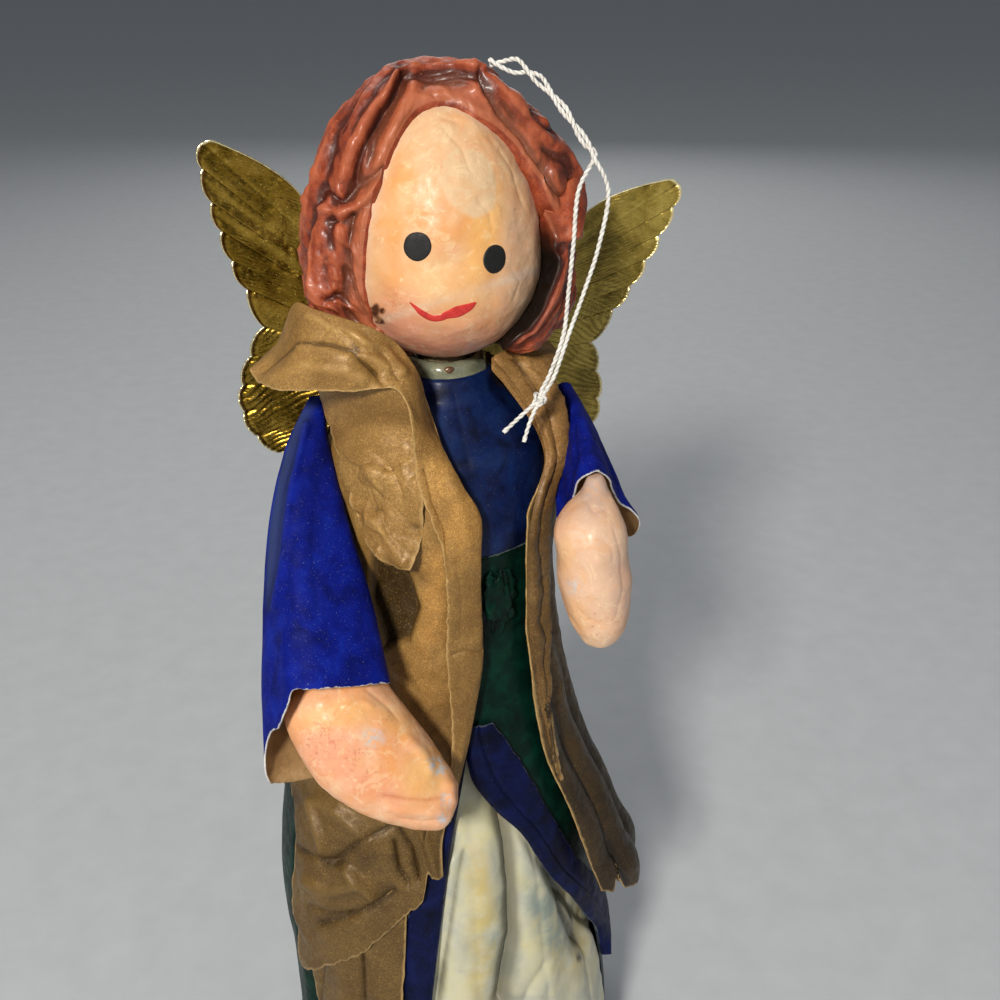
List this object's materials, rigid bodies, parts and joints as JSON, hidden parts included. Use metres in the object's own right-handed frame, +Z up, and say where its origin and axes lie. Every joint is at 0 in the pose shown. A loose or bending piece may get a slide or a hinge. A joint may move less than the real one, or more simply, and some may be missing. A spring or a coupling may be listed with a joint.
{
  "type": "papier-mache angel doll",
  "caption": "Free-standing papier-mache angel doll in a gold paper coat over layered skirts, with bendable wire arms, mitten hands, foil wings and a cotton hanging loop.",
  "frame": {"origin": "centre of the flat base the doll stands on", "axes": "+Z up; the face, shoulders and wings face -Y; the doll's own right is -X"},
  "size_m": [0.1263, 0.1055, 0.3122],
  "materials": {
    "base_card": "raw card",
    "core_card": "raw papier-mache",
    "peg_card": "rolled card",
    "neck_paint": "gloss varnish",
    "skin_head": "gloss varnish over paint",
    "hair": "lacquered crumpled paper",
    "bodice_blue": "satin paint",
    "underskirt_white": "satin paint",
    "overskirt_green": "satin paint",
    "turnback_blue": "satin paint",
    "coat_gold": "metallic gold paint on kraft paper",
    "wing_foil": "embossed gold-coloured foil",
    "sleeve_blue": "satin paint",
    "arm_wire": "drawn wire",
    "skin_hands": "gloss varnish over paint",
    "cord_cotton": "twisted cotton"
  },
  "bodies": {
    "doll": {"base_disc": "base_card", "core_shell": "core_card", "neck_peg": "peg_card", "neck_ring": "neck_paint", "head": "skin_head", "hair_back": "hair", "hair_right_lock": "hair", "hair_left_lock": "hair", "bodice": "bodice_blue", "underskirt": "underskirt_white", "overskirt": "overskirt_green", "overskirt_right_turnback": "turnback_blue", "overskirt_left_turnback": "turnback_blue", "waist_knot": "overskirt_green", "coat_back": "coat_gold", "coat_right_front": "coat_gold", "coat_left_front": "coat_gold", "coat_right_tail": "coat_gold", "coat_right_lapel": "coat_gold", "coat_left_lapel": "coat_gold", "coat_right_collar": "coat_gold", "coat_left_collar": "coat_gold", "wing_tab": "wing_foil", "wing_glue_pad": "neck_paint", "cord_strand_a": "cord_cotton", "cord_strand_b": "cord_cotton", "cord_knot": "cord_cotton"},
    "right_arm": {"right_sleeve": "sleeve_blue", "right_arm_wire": "arm_wire"},
    "right_hand": {"right_hand": "skin_hands"},
    "left_arm": {"left_sleeve": "sleeve_blue", "left_arm_wire": "arm_wire"},
    "left_hand": {"left_hand": "skin_hands"},
    "right_wing": {"right_wing": "wing_foil"},
    "left_wing": {"left_wing": "wing_foil"}
  },
  "joints": [
    {"name": "right_shoulder", "type": "hinge", "parent": "doll", "child": "right_arm", "pos_m": [-0.031, 0.003, 0.233], "axis": [1, 0, 0], "range_deg": [-25, 1.5]},
    {"name": "right_wrist", "type": "hinge", "parent": "right_arm", "child": "right_hand", "pos_m": [-0.03642, -0.03395, 0.17625], "axis": [-0.2369, -0.9438, 0.2303], "range_deg": [-20, 1]},
    {"name": "left_shoulder", "type": "hinge", "parent": "doll", "child": "left_arm", "pos_m": [0.031, 0.003, 0.2305], "axis": [1, 0, 0], "range_deg": [-12, 3]},
    {"name": "left_wrist", "type": "hinge", "parent": "left_arm", "child": "left_hand", "pos_m": [0.02711, -0.04169, 0.22559], "axis": [1, 0, 0], "range_deg": [-20, 3]},
    {"name": "right_wing_fold", "type": "hinge", "parent": "doll", "child": "right_wing", "pos_m": [-0.0045, 0.033, 0.24], "axis": [0, 0, 1], "range_deg": [-20, 20]},
    {"name": "left_wing_fold", "type": "hinge", "parent": "doll", "child": "left_wing", "pos_m": [0.0105, 0.033, 0.24], "axis": [0, 0, 1], "range_deg": [-20, 20]}
  ]
}
